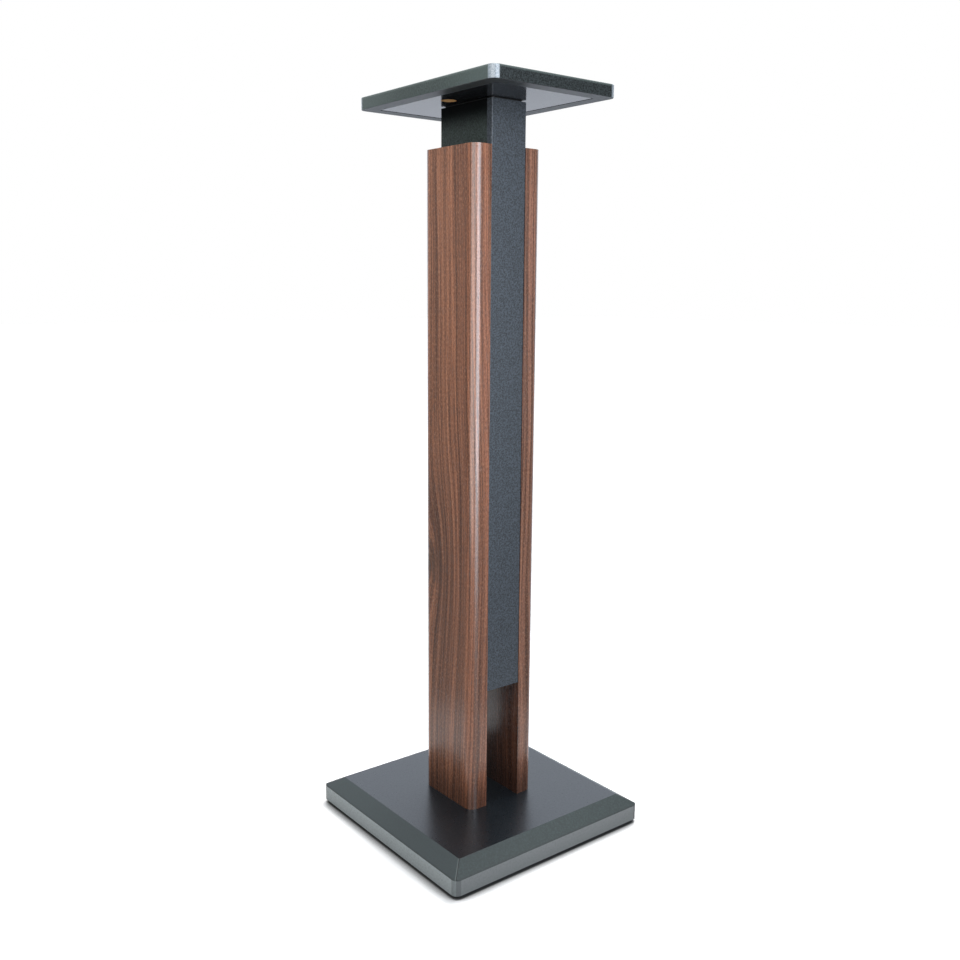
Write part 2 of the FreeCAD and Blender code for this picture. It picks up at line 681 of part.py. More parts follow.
def side_fasteners():
    bolts = []
    washers = []
    inserts = []
    for side in SIGNS:
        for z in SIDE_BOLT_HEIGHTS:
            index = len(bolts)
            seat = f"{side} * ({DUCT_SIDE} - Sizes.washer_thick)"
            bolt = socket_bolt(f"side_bolt_{index}", "Sizes.bolt_radius",
                               "Sizes.washer_thick + Sizes.channel_wall + Sizes.side_bolt_bite",
                               "Sizes.bolt_head_radius", "Sizes.bolt_head_height",
                               "Sizes.bolt_socket", "Sizes.bolt_socket_depth")
            washer = ring(f"side_washer_{index}", "Sizes.washer_radius", BOLT_HOLE, "Sizes.washer_thick")
            insert = ring(f"side_insert_{index}", "Sizes.insert_radius",
                          "Sizes.bolt_radius + Sizes.thread_clearance", "Sizes.side_insert_length")
            for item, x in ((bolt, seat), (washer, seat), (insert, f"{side} * {PANEL_INNER}")):
                point(item, Y_AXIS, side * 90)
                place(item, x, "0", z)
            bolts.append(bolt)
            washers.append(washer)
            inserts.append(insert)
    group("side_bolts", bolts)
    group("side_washers", washers)
    group("side_panel_inserts", inserts)


# Platform -----------------------------------------------------------------------------------

TOP_BOLT_PLACES = four_places(f"({DUCT_SIDE} - Sizes.top_bolt_margin)", "Sizes.top_bolt_pitch / 2")
LOCATING_PLACES = [(f"{sx} * Sizes.locating_hole_x", "Sizes.locating_hole_y") for sx in SIGNS]


def fixing_plate():
    body = new_body("top_fixing_plate", z=CHANNEL_TOP)
    outline = new_sketch(body, "fixing_plate_outline", "XY_Plane", "0")
    half_x = f"({PANEL_INNER} - Sizes.fixing_plate_inset)"
    half_y = f"({CHANNEL_REAR} - Sizes.fixing_plate_inset)"
    rectangle(outline, f"-{half_x}", half_x, f"-{half_y}", half_y)
    blank = pad(body, "fixing_plate_blank", outline, "Sizes.fixing_plate_thick")
    dress(body, "Fillet", "fixing_plate_corners", blank, vertical,
          Radius="Sizes.fixing_plate_corner_radius")
    drill_up(body, "fixing_plate_bolt_holes", BOLT_HOLE, TOP_BOLT_PLACES, "Sizes.fixing_plate_thick")
    return keep(body, "top_fixing_plate")


def platform_fasteners():
    bolts = []
    washers = []
    inserts = []
    seat = f"({CHANNEL_TOP} - Sizes.top_block_height - Sizes.washer_thick)"
    grip = "(Sizes.washer_thick + Sizes.top_block_height + Sizes.fixing_plate_thick + Sizes.backing_thick)"
    for index, (x, y) in enumerate(TOP_BOLT_PLACES):
        bolt = socket_bolt(f"top_bolt_{index}", "Sizes.bolt_radius", f"{grip} + Sizes.top_bolt_bite",
                           "Sizes.bolt_head_radius", "Sizes.bolt_head_height",
                           "Sizes.bolt_socket", "Sizes.bolt_socket_depth")
        washer = ring(f"top_washer_{index}", "Sizes.washer_radius", BOLT_HOLE, "Sizes.washer_thick")
        insert = ring(f"top_insert_{index}", "Sizes.insert_radius",
                      "Sizes.bolt_radius + Sizes.thread_clearance", "Sizes.top_insert_length")
        place(bolt, x, y, seat)
        place(washer, x, y, seat)
        place(insert, x, y, f"{PLATFORM_BOTTOM} + {PLATFORM_POCKET}")
        bolts.append(bolt)
        washers.append(washer)
        inserts.append(insert)
    group("top_bolts", bolts)
    group("top_washers", washers)
    group("platform_inserts", inserts)


def platform_backing():
    body = new_body("platform_backing", z=BACKING_BOTTOM)
    outline = new_sketch(body, "backing_outline", "XY_Plane", "0")
    inset = "2 * (Sizes.underside_border + Sizes.backing_gap)"
    centred_rectangle(outline, f"(Sizes.platform_width - {inset})", f"(Sizes.platform_depth - {inset})")
    pad(body, "backing_sheet", outline, "Sizes.backing_thick")
    drill_up(body, "backing_holes", BOLT_HOLE, TOP_BOLT_PLACES, "Sizes.backing_thick")
    drill_up(body, "backing_locating_holes", "Sizes.locating_hole_radius", LOCATING_PLACES,
             "Sizes.backing_thick")
    return keep(body, "platform_backing")


def platform_board():
    body = new_body("platform_board", z=PLATFORM_BOTTOM)
    outline = new_sketch(body, "platform_outline", "XY_Plane", "0")
    centred_rectangle(outline, "Sizes.platform_width", "Sizes.platform_depth")
    blank = pad(body, "platform_blank", outline, "Sizes.platform_thick")
    corners = dress(body, "Fillet", "platform_corners", blank, vertical,
                    Radius="Sizes.platform_corner_radius")
    low = level_at(0)
    high = level_at(number("Sizes.platform_thick"))
    dress(body, "Fillet", "platform_edges", corners, lambda edge: low(edge) or high(edge),
          Radius="Sizes.platform_edge_radius")
    sketch = new_sketch(body, "platform_pocket_sketch", "XY_Plane", "0")
    inset = "2 * Sizes.underside_border"
    centred_rectangle(sketch, f"(Sizes.platform_width - {inset})", f"(Sizes.platform_depth - {inset})")
    pocket(body, "platform_pocket", sketch, PLATFORM_POCKET, True)
    drill_up(body, "platform_insert_holes", "Sizes.insert_radius", TOP_BOLT_PLACES,
             "Sizes.top_insert_length", PLATFORM_POCKET)
    drill_up(body, "platform_locating_holes", "Sizes.locating_hole_radius", LOCATING_PLACES,
             "Sizes.locating_hole_depth - Sizes.backing_thick", PLATFORM_POCKET)
    return keep(body, "platform_board")


# Assembly -----------------------------------------------------------------------------------

base_board()
base_fasteners()
dowels()
foot_inserts()
for x_name, sx in zip(("left", "right"), SIGNS):
    for y_name, sy in zip(("front", "rear"), SIGNS):
        foot(f"{y_name}_{x_name}", f"{sx} * {FOOT_X}", f"{sy} * {FOOT_Y}")
    side_panel(x_name, sx)
    channel_side_board(x_name, sx)
channel_front_board()
channel_top_block()
channel_bottom_block()
channel_rear_cover()
cover_screws()
side_fasteners()
fixing_plate()
platform_fasteners()
platform_backing()
platform_board()
doc.recompute()

for item in doc.Objects:
    if "Invalid" in item.State or "Error" in item.State:
        raise RuntimeError(f"{item.Label} failed: {item.State}")
    if item.TypeId == "PartDesign::Pocket":
        if item.Shape.Volume >= item.BaseFeature.Shape.Volume:
            raise RuntimeError(f"{item.Label} removes nothing")

for item in subparts:
    if item.Shape.isNull() or not item.Shape.isValid():
        raise RuntimeError(f"{item.Label} has no valid shape")

os.makedirs("parts", exist_ok=True)
for item in subparts:
    item.Shape.exportStep(f"parts/{item.Label}.step")
    print(item.Label, len(item.Shape.Solids), round(item.Shape.Volume, 1))
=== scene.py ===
import math
from types import SimpleNamespace

import bpy
from mathutils import Matrix, Vector

# The speaker stand in its photograph's studio. Every piece is a CAD node of the frame, so this
# script dresses the nodes with procedural materials and adds the camera, the floor and the lamps.

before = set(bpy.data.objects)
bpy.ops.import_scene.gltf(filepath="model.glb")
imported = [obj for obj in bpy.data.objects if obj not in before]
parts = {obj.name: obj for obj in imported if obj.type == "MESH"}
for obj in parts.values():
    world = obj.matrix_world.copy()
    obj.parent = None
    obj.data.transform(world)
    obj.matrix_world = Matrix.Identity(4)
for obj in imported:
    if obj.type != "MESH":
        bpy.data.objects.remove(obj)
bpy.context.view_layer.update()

MM = 0.001
WHITE = (1.0, 1.0, 1.0, 1.0)


# Camera, fitted to the photograph -------------------------------------------------------

IMAGE_SIDE = 960
SENSOR = 36.0
FOCAL_PIXELS = 1023.11
CAMERA_YAW = math.radians(38.29)
CAMERA_PITCH = math.radians(-10.42)
CAMERA_ROLL = math.radians(0.41)
CAMERA_DISTANCE = 1286.97 * MM
TARGET_HEIGHT = 449.85 * MM
TARGET_SHIFT = -0.28 * MM


def make_camera():
    level = math.cos(CAMERA_PITCH)
    forward = Vector((math.sin(CAMERA_YAW) * level, math.cos(CAMERA_YAW) * level, math.sin(CAMERA_PITCH)))
    right = Vector((math.cos(CAMERA_YAW), -math.sin(CAMERA_YAW), 0))
    up = right.cross(forward)
    tilted_right = right * math.cos(CAMERA_ROLL) + up * math.sin(CAMERA_ROLL)
    tilted_up = up * math.cos(CAMERA_ROLL) - right * math.sin(CAMERA_ROLL)
    target = Vector((0, 0, TARGET_HEIGHT)) + tilted_right * TARGET_SHIFT
    data = bpy.data.cameras.new("camera")
    data.sensor_width = SENSOR
    data.lens = FOCAL_PIXELS / IMAGE_SIDE * SENSOR
    camera = bpy.data.objects.new("camera", data)
    turn = Matrix((tilted_right, tilted_up, -forward)).transposed()
    camera.matrix_world = Matrix.Translation(target - forward * CAMERA_DISTANCE) @ turn.to_4x4()
    bpy.context.scene.collection.objects.link(camera)
    bpy.context.scene.camera = camera


# Shader building ------------------------------------------------------------------------

def srgb(red, green, blue):
    """An 8-bit screen colour as the linear colour that a shader takes."""
    linear = []
    for value in (red, green, blue):
        level = value / 255
        linear.append(level / 12.92 if level <= 0.04045 else ((level + 0.055) / 1.055) ** 2.4)
    return (*linear, 1.0)


class Shading:
    """Adds nodes to a node tree. A value is a number, a colour or another node's output."""

    def __init__(self, tree):
        self.tree = tree

    def feed(self, socket, value):
        if isinstance(value, bpy.types.NodeSocket):
            self.tree.links.new(value, socket)
        else:
            socket.default_value = value

    def node(self, kind, inputs=(), **options):
        """A new node. Its inputs are given in their order, or as a dict by number or name."""
        item = self.tree.nodes.new(kind)
        for key, value in options.items():
            setattr(item, key, value)
        for key, value in inputs.items() if isinstance(inputs, dict) else enumerate(inputs):
            self.feed(item.inputs[key], value)
        return item

    def math(self, operation, *values):
        return self.node("ShaderNodeMath", values, operation=operation).outputs[0]

    def add(self, first, *others):
        for other in others:
            first = self.math("ADD", first, other)
        return first

    def times(self, first, *others):
        for other in others:
            first = self.math("MULTIPLY", first, other)
        return first

    def less(self, value, taken_off):
        return self.math("SUBTRACT", value, taken_off)

    def absolute(self, value):
        return self.math("ABSOLUTE", value)

    def hypot(self, a, b):
        return self.math("SQRT", self.add(self.times(a, a), self.times(b, b)))

    def vector(self, x, y, z):
        return self.node("ShaderNodeCombineXYZ", (x, y, z)).outputs[0]

    def vector_math(self, operation, *values):
        item = self.node("ShaderNodeVectorMath", values, operation=operation)
        return item.outputs["Value" if operation in ("LENGTH", "DOT_PRODUCT") else "Vector"]

    def between(self, value, low, high, to_low=0.0, to_high=1.0, smooth=True):
        """The value spread from low..high to to_low..to_high and held there outside."""
        kind = "SMOOTHSTEP" if smooth else "LINEAR"
        inputs = (value, low, high, to_low, to_high)
        return self.node("ShaderNodeMapRange", inputs, interpolation_type=kind).outputs[0]

    def below(self, value, low, high):
        """1 where the value is under low, fading to 0 at high."""
        return self.between(value, low, high, 1.0, 0.0)

    def beside(self, value, middle, low, high):
        """1 where the value is within low of the middle, fading to 0 at high from it."""
        return self.below(self.absolute(self.less(value, middle)), low, high)

    def mix(self, share, a, b, blend="MIX"):
        inputs = {0: share, 6: a, 7: b}
        return self.node("ShaderNodeMix", inputs, data_type="RGBA", blend_type=blend).outputs[2]

    def layered(self, colour, *layers):
        """The colour with layers of (share, colour) laid over it in turn."""
        for share, layer in layers:
            colour = self.mix(share, colour, layer)
        return colour

    def rays(self):
        """Whether a ray comes straight from the camera, and whether it is reflected or refracted."""
        path = self.node("ShaderNodeLightPath")
        bent = self.math("MAXIMUM", path.outputs["Is Glossy Ray"], path.outputs["Is Transmission Ray"])
        return path.outputs["Is Camera Ray"], bent


class Surface(Shading):
    """One procedural material around a Principled shader, placed by the object's own coordinates."""

    SHADER_INPUTS = {"colour": "Base Color", "roughness": "Roughness", "metallic": "Metallic", "ior": "IOR",
                     "specular": "Specular IOR Level", "tint": "Specular Tint", "normal": "Normal"}

    def __init__(self, name):
        self.material = bpy.data.materials.new(name)
        self.material.use_nodes = True
        super().__init__(self.material.node_tree)
        self.shader = self.tree.nodes["Principled BSDF"]
        self.place = self.node("ShaderNodeTexCoord").outputs["Object"]
        self.x, self.y, self.z = self.node("ShaderNodeSeparateXYZ", (self.place,)).outputs

    def stretched(self, per_x, per_y, per_z):
        """The place with each axis scaled by its own factor."""
        return self.vector(self.times(self.x, per_x), self.times(self.y, per_y), self.times(self.z, per_z))

    def noise(self, scale, detail=2.0, roughness=0.5, distortion=0.0, at=None):
        inputs = {"Vector": at or self.place, "Scale": scale, "Detail": detail, "Roughness": roughness,
                  "Distortion": distortion}
        return self.node("ShaderNodeTexNoise", inputs).outputs[0]

    def cells(self, scale, at=None, feature="F1"):
        """The distance to the nearest of many scattered points."""
        inputs = {"Vector": at or self.place, "Scale": scale}
        return self.node("ShaderNodeTexVoronoi", inputs, feature=feature).outputs["Distance"]

    def ramp(self, value, *stops):
        """A colour from a value, by (position, colour) stops."""
        item = self.node("ShaderNodeValToRGB", (value,))
        elements = item.color_ramp.elements
        while len(elements) < len(stops):
            elements.new(1.0)
        for element, (position, colour) in zip(elements, stops):
            element.position = position
            element.color = colour
        return item.outputs[0]

    def bump(self, height, distance, strength=1.0, under=None):
        inputs = {"Height": height, "Distance": distance, "Strength": strength}
        if under is not None:
            inputs["Normal"] = under
        return self.node("ShaderNodeBump", inputs).outputs[0]

    def finish(self, **values):
        for key, value in values.items():
            self.feed(self.shader.inputs[self.SHADER_INPUTS[key]], value)
        return self.material


# Sizes, from the frame ------------------------------------------------------------------

def extent(name):
    """The lowest and the highest corner of a CAD node, in its own coordinates."""
    axes = list(zip(*parts[name].bound_box))
    return Vector([min(axis) for axis in axes]), Vector([max(axis) for axis in axes])


BASE_LOW, BASE_HIGH = extent("base_board")
PANEL_LOW, PANEL_HIGH = extent("right_side_panel")
BOARD_LOW, BOARD_HIGH = extent("channel_right_board")
PLATFORM_LOW, PLATFORM_HIGH = extent("platform_board")

# What the boxes round the nodes don't tell, as in the CAD.
BEVEL_WIDTH = 20.5 * MM
BEVEL_HEIGHT = 12.5 * MM
BASE_CORNER = 8.0 * MM
PLATFORM_CORNER = 9.5 * MM
HOLE_X = 45.0 * MM
HOLE_Y = 7.0 * MM
HOLE_RADIUS = 9.0 * MM
HOLE_COVER = 4.5 * MM


# In the materials below, a noise's scale is in waves per metre, and the colours are those that
# show under a plain light. A mask is a share from 0 to 1.

# Wood -----------------------------------------------------------------------------------

# The knot's place round the left panel, from its near edge, and above the floor.
KNOT_AROUND = 97 * MM
KNOT_HEIGHT = 345 * MM
# How far it pushes the grain, over what width it does so, and the share of the height that counts.
KNOT_PUSH = 42 * MM
KNOT_SOFTNESS = 38 * MM
KNOT_UPRIGHT = 0.48
# The noise of the two panels is taken this far apart.
PANEL_SHIFT = 0.7


def flow_round_knot(s, around, on_left):
    """The distance from the knot, and how far it shifts the grain.

    The knot lies at the far edge of the left panel's broad face. It pushes the grain out into long
    arcs, as a stone does with the stream round it."""
    from_knot = s.less(KNOT_AROUND, around)
    above_knot = s.less(s.z, KNOT_HEIGHT)
    drawn_out = s.times(above_knot, KNOT_UPRIGHT)
    reach = s.add(s.times(from_knot, from_knot), KNOT_SOFTNESS ** 2, s.times(drawn_out, drawn_out))
    push = s.math("DIVIDE", KNOT_PUSH ** 2, reach)
    return s.hypot(from_knot, above_knot), s.times(from_knot, push, on_left)


def walnut():
    """Printed walnut foil wrapped round the side panels: upright grain and one broad figure, with painted
    shade at its foot and on the faces towards the channel.
    """
    s = Surface("walnut_foil")
    side = s.math("SIGN", s.x)
    on_left = s.below(side, -0.5, 0.5)
    # Distance round the panel from its near edge: back along the broad face is positive.
    inward = s.less(PANEL_HIGH.x, s.absolute(s.x))
    around = s.add(s.y, PANEL_HIGH.y, s.times(inward, s.math("SIGN", s.y)))
    across = s.add(around, s.times(side, PANEL_SHIFT))
    knot_distance, shift = flow_round_knot(s, around, on_left)
    bent = s.add(across, shift)

    def grain(line, per_metre_across, per_metre_along, detail, roughness):
        at = s.vector(s.times(line, per_metre_across), side, s.times(s.z, per_metre_along))
        return s.noise(1.0, detail, roughness, at=at)

    sway = s.less(grain(across, 9.0, 2.6, 2.0, 0.5), 0.5)
    line = s.add(bent, s.times(sway, 22 * MM))
    broad = grain(line, 75.0, 0.9, 2.0, 0.5)
    bands = grain(line, 230.0, 2.0, 2.0, 0.5)
    streaks = grain(line, 560.0, 3.2, 3.0, 0.6)
    fibres = grain(line, 1300.0, 14.0, 3.0, 0.7)
    pores = grain(line, 1900.0, 60.0, 1.0, 0.5)
    flecks = grain(line, 620.0, 280.0, 2.0, 0.6)
    arcs = grain(s.add(bent, s.times(sway, 9 * MM)), 300.0, 1.6, 2.0, 0.6)

    dark_line = s.below(streaks, 0.34, 0.52)
    pore = s.between(pores, 0.56, 0.66)
    by_knot = s.times(s.below(knot_distance, 60 * MM, 170 * MM), on_left)
    knot = s.times(s.below(knot_distance, 4 * MM, 46 * MM), on_left)
    shade_towards_channel = s.below(s.absolute(s.x), PANEL_LOW.x + 0.1 * MM, PANEL_LOW.x + 0.4 * MM)
    near_colour = s.mix(on_left, srgb(170, 118, 96), srgb(186, 122, 94))
    colour = s.layered(
        srgb(176, 118, 88),
        (s.below(around, -30 * MM, 60 * MM), near_colour),
        (s.between(broad, 0.34, 0.62, 0.6, 0.0), srgb(106, 72, 56)),
        (s.between(bands, 0.38, 0.56, 0.7, 0.0), srgb(86, 56, 42)),
        (s.between(bands, 0.56, 0.72, 0.0, 0.4), srgb(200, 142, 110)),
        (s.times(dark_line, 0.66), srgb(70, 44, 35)),
        (s.between(streaks, 0.55, 0.72, 0.0, 0.35), srgb(204, 148, 116)),
        (s.between(fibres, 0.32, 0.52, 0.55, 0.0), srgb(66, 42, 33)),
        (s.times(pore, 0.55), srgb(54, 34, 27)),
        # Short flecks along the grain give the printed figure its speckle.
        (s.between(flecks, 0.34, 0.52, 0.4, 0.0), srgb(72, 46, 36)),
        (s.between(flecks, 0.52, 0.7, 0.0, 0.25), srgb(214, 160, 124)),
        (s.times(s.below(arcs, 0.4, 0.5), by_knot, 0.5), srgb(66, 42, 32)),
        (s.times(knot, 0.75), srgb(66, 50, 40)),
        # Painted shade: the foil is darkened towards its foot, and the faces towards the channel are
        # darkened all over, where less light falls.
        (s.between(s.z, 40 * MM, 92 * MM, 0.6, 0.0), srgb(48, 27, 17)),
        (s.times(shade_towards_channel, 0.62), srgb(36, 17, 9)))

    relief = s.add(s.times(dark_line, -0.4), s.times(pore, -1.0))
    roughness = s.add(0.2, s.times(pore, 0.14))
    return s.finish(colour=colour, roughness=roughness, ior=1.62, normal=s.bump(relief, 0.04 * MM, 0.25))


def fibreboard():
    """Bare medium-density fibreboard: pale brown, felted, with darker fibres."""
    s = Surface("bare_fibreboard")
    clouds = s.noise(60.0, 4.0, 0.6)
    fibres = s.noise(900.0, 3.0, 0.7, 0.6)
    colour = s.ramp(s.add(s.times(clouds, 0.4), s.times(fibres, 0.6)),
                    (0.25, srgb(146, 110, 74)), (0.5, srgb(184, 148, 106)), (0.75, srgb(208, 176, 136)))
    return s.finish(colour=colour, roughness=0.85, normal=s.bump(fibres, 0.2 * MM, 0.6))


def beech():
    """Fluted beech dowel: pale, with short dark flecks along the grain."""
    s = Surface("beech_dowel")
    grain = s.noise(1.0, 3.0, 0.6, at=s.stretched(900.0, 900.0, 40.0))
    flecks = s.noise(1.0, 1.0, 0.5, at=s.stretched(2200.0, 2200.0, 260.0))
    colour = s.ramp(grain, (0.3, srgb(184, 144, 104)), (0.7, srgb(220, 184, 142)))
    colour = s.mix(s.times(s.between(flecks, 0.62, 0.7), 0.5), colour, srgb(140, 98, 66))
    return s.finish(colour=colour, roughness=0.6, normal=s.bump(grain, 0.1 * MM, 0.5))


# Black foils ----------------------------------------------------------------------------

CUT_FIBREBOARD = srgb(206, 168, 118)


def base_masks(s):
    """Shares from 0 to 1 that tell the base's faces and edges apart."""
    far_x = s.absolute(s.x)
    far_y = s.absolute(s.y)
    farthest = s.math("MAXIMUM", far_x, far_y)
    nearest = s.math("MINIMUM", far_x, far_y)
    lead = s.less(far_x, far_y)
    bevel_inner = BASE_HIGH.x - BEVEL_WIDTH
    bevel_foot = BASE_HIGH.z - BEVEL_HEIGHT
    straight = BASE_HIGH.x - BASE_CORNER
    off_underside = s.between(s.z, BASE_LOW.z + 0.05 * MM, BASE_LOW.z + 0.15 * MM)
    above_edge = s.between(s.z, bevel_foot - 0.5 * MM, bevel_foot)
    outer = s.times(s.between(farthest, bevel_inner - 0.2 * MM, bevel_inner + 0.3 * MM), off_underside)
    rim = s.times(s.between(farthest, BASE_HIGH.x - 3.0 * MM, BASE_HIGH.x - 2.6 * MM), off_underside)
    bevel = s.times(outer, above_edge)
    return SimpleNamespace(
        side_face=s.between(lead, -1.0 * MM, 1.0 * MM),
        outer=outer,
        bevel=bevel,
        edge=s.times(s.less(1.0, above_edge), rim),
        up_edge=s.between(s.z, BASE_LOW.z, bevel_foot, smooth=False),
        seam=s.times(s.beside(lead, 0.0, 0.5 * MM, 1.1 * MM), bevel),
        pale_seam_line=s.times(s.beside(lead, 1.4 * MM, 0.3 * MM, 0.8 * MM), bevel),
        fold=s.times(s.below(s.z, bevel_foot + 0.3 * MM, bevel_foot + 1.6 * MM), above_edge),
        rounding=s.between(nearest, straight - 0.3 * MM, straight + 0.5 * MM))


def base_vinyl():
    """Black vinyl foil with a fine grain, mitred at the corners of the bevel, with painted light on its
    bevel and its upright edges.
    """
    s = Surface("base_vinyl")
    on = base_masks(s)
    grain = s.cells(900.0)
    mottle = s.noise(320.0, 3.0, 0.6)
    clouds = s.noise(40.0, 4.0, 0.6)
    specks = s.between(s.noise(430.0, 2.0, 0.6), 0.42, 0.7)

    top_colour = s.mix(s.add(s.times(mottle, 0.6), s.times(clouds, 0.4)), srgb(10, 18, 23), srgb(22, 31, 38))
    # Painted light: the bevel is lighter on the left and right sides than on the front and back, for how the
    # light falls on each. Its pale specks are the foil's own.
    bevel_colour = s.mix(on.side_face, srgb(24, 38, 36), srgb(44, 54, 53))
    bevel_colour = s.mix(s.times(specks, 0.4), bevel_colour, srgb(74, 88, 88))
    # Painted light: the upright edges of the black foil are painted pale grey for the light they catch. They
    # are paler on the left and right sides than on the front and back, paler towards the top, and darker on
    # the rounded corners. The mottle and specks are the foil's own.
    painted_edge_light = s.layered(
        s.mix(on.side_face, srgb(110, 113, 114), srgb(161, 170, 172)),
        (on.up_edge, s.mix(on.side_face, srgb(132, 135, 136), srgb(193, 203, 205))),
        (s.times(mottle, 0.3), srgb(104, 110, 112)),
        (s.times(on.rounding, 0.55), srgb(52, 58, 60)),
        (s.times(specks, 0.3), srgb(92, 97, 99)))
    colour = s.layered(
        top_colour,
        (s.times(on.outer, 0.85), bevel_colour),
        (s.times(on.fold, 0.45), srgb(14, 17, 18)),
        (s.times(on.edge, 0.85), painted_edge_light),
        # A paler line runs beside each mitre seam.
        (s.times(on.pale_seam_line, 0.5), srgb(120, 132, 130)),
        (on.seam, srgb(10, 11, 12)))

    normal = s.bump(s.add(s.times(grain, 0.5), s.times(mottle, 0.5)), 0.05 * MM, 0.5)
    normal = s.bump(s.times(on.seam, -1.0), 0.3 * MM, under=normal)
    matt = s.times(on.bevel, s.less(1.0, on.side_face))
    specular = s.times(s.between(matt, 0.0, 1.0, 0.54, 0.34), s.between(specks, 0.0, 1.0, 1.04, 0.84))
    off_top = s.math("MAXIMUM", on.outer, on.edge)
    roughness = s.add(0.24, s.times(mottle, 0.1), s.times(off_top, 0.2))
    return s.finish(colour=colour, roughness=roughness, ior=1.65, specular=specular, normal=normal,
                    tint=(0.94, 0.98, 1.0, 1.0))


def leather_vinyl(name, dark, light, gloss, ior, top_shadow_share):
    """Black vinyl with an embossed leather-like grain of about two millimetres, with painted glints, and, on
    the boards that take it, a painted shadow of the platform near its top.

    The box's inside, where the foil ends, is bare fibreboard."""
    s = Surface(name)
    bend = s.noise(160.0, 2.0, 0.5)
    at = s.vector_math("ADD", s.place, s.times(bend, 4 * MM))
    height = s.add(s.cells(520.0, at=at, feature="SMOOTH_F1"), s.times(s.cells(1300.0, at=at), 0.45))
    mottle = s.noise(700.0, 4.0, 0.7)
    glint = s.between(s.noise(900.0, 2.0, 0.6, 0.8), 0.6, 0.7)
    platform_shadow = s.times(s.between(s.z, BOARD_HIGH.z - 34.5 * MM, BOARD_HIGH.z - 5.5 * MM), top_shadow_share)
    side_wall = BOARD_LOW.x
    front_wall = -BOARD_LOW.y
    inside = s.times(s.below(s.absolute(s.x), side_wall + 0.05 * MM, side_wall + 0.1 * MM),
                     s.below(s.absolute(s.y), front_wall + 0.05 * MM, front_wall + 0.1 * MM))
    share = s.between(s.add(s.times(height, 0.5), s.times(mottle, 0.7)), 0.5, 0.85)
    colour = s.layered(
        s.mix(share, dark, light),
        # Painted highlight: pale glints scattered over the grain.
        (s.times(glint, 0.4), srgb(118, 128, 138)),
        # Painted shadow of the platform over the top of the boards.
        (platform_shadow, srgb(6, 7, 9)),
        (inside, srgb(172, 136, 96)))
    # The shine is taken off in the painted shadow too.
    specular = s.between(platform_shadow, 0.0, 1.0, 0.5, 0.05)
    return s.finish(colour=colour, roughness=gloss, ior=ior, specular=specular,
                    normal=s.bump(height, 0.16 * MM, 0.8))


def in_locating_hole(s):
    """1 on the walls of the two holes in the platform's underside, 0 elsewhere."""
    distance = s.hypot(s.less(s.absolute(s.x), HOLE_X), s.less(s.y, HOLE_Y))
    hole_top = PLATFORM_HIGH.z - HOLE_COVER
    return s.times(s.below(distance, HOLE_RADIUS + 0.1 * MM, HOLE_RADIUS + 0.2 * MM),
                   s.below(s.z, hole_top, hole_top + 0.1 * MM))


def platform_vinyl():
    """The platform's fine-speckled black foil, with painted light on its left and right rims and a painted
    highlight along its top edge and over its corners.
    """
    s = Surface("platform_vinyl")
    far_x = s.absolute(s.x)
    far_y = s.absolute(s.y)
    straight_x = PLATFORM_HIGH.x - PLATFORM_CORNER
    straight_y = PLATFORM_HIGH.y - PLATFORM_CORNER
    top = PLATFORM_HIGH.z
    side_face = s.between(far_x, PLATFORM_HIGH.x - 0.6 * MM, PLATFORM_HIGH.x - 0.3 * MM)
    corner = s.times(s.between(far_x, straight_x, straight_x + 1.5 * MM),
                     s.between(far_y, straight_y, straight_y + 1.5 * MM))
    on_rim = s.between(s.z, PLATFORM_LOW.z + 0.05 * MM, PLATFORM_LOW.z + 0.2 * MM)
    top_edge = s.between(s.z, top - 3.2 * MM, top - 0.6 * MM)
    below_top = s.below(s.z, top - 0.15 * MM, top - 0.05 * MM)
    towards_corner = s.between(far_y, 20 * MM, PLATFORM_HIGH.y)
    grain = s.cells(1000.0)
    mottle = s.noise(520.0, 4.0, 0.65)
    speckle = s.between(mottle, 0.35, 0.65)
    glitter = s.between(s.noise(1200.0, 2.0, 0.6, 0.5), 0.38, 0.64)

    # Painted light: the left and right rims are painted paler than the front and back, and paler towards the
    # corners.
    lit_rim_colour = s.mix(towards_corner, srgb(58, 69, 67), srgb(82, 95, 93))
    lit_rim_colour = s.mix(s.times(speckle, 0.4), lit_rim_colour, srgb(92, 106, 104))
    corner_highlight = s.mix(glitter, srgb(126, 137, 145), srgb(180, 190, 200))
    colour = s.layered(
        s.mix(speckle, srgb(20, 26, 27), srgb(54, 62, 64)),
        (s.times(side_face, on_rim, 0.9), lit_rim_colour),
        # Painted highlight along the top edge and over the rounded corners.
        (s.times(top_edge, below_top, 0.5), srgb(122, 136, 132)),
        (s.times(corner, on_rim, below_top, 0.8), corner_highlight),
        (in_locating_hole(s), CUT_FIBREBOARD))
    normal = s.bump(s.add(s.times(grain, 0.6), s.times(mottle, 0.4)), 0.06 * MM, 0.6)
    roughness = s.add(0.16, s.times(mottle, 0.16), s.times(s.less(1.0, on_rim), 0.2))
    specular = s.between(on_rim, 0.0, 1.0, 0.3, 0.5)
    return s.finish(colour=colour, roughness=roughness, ior=1.55, specular=specular, normal=normal)


def platform_underside():
    """Smooth black foil of the sheet under the platform."""
    s = Surface("platform_underside")
    mottle = s.noise(180.0, 4.0, 0.6)
    fine = s.cells(1500.0)
    colour = s.mix(mottle, srgb(14, 16, 19), srgb(26, 28, 32))
    colour = s.mix(in_locating_hole(s), colour, CUT_FIBREBOARD)
    normal = s.bump(s.add(s.times(mottle, 0.6), s.times(fine, 0.4)), 0.02 * MM, 0.35)
    return s.finish(colour=colour, roughness=s.add(0.12, s.times(mottle, 0.06)), normal=normal)


# Metal, paint, rubber and plastic -------------------------------------------------------

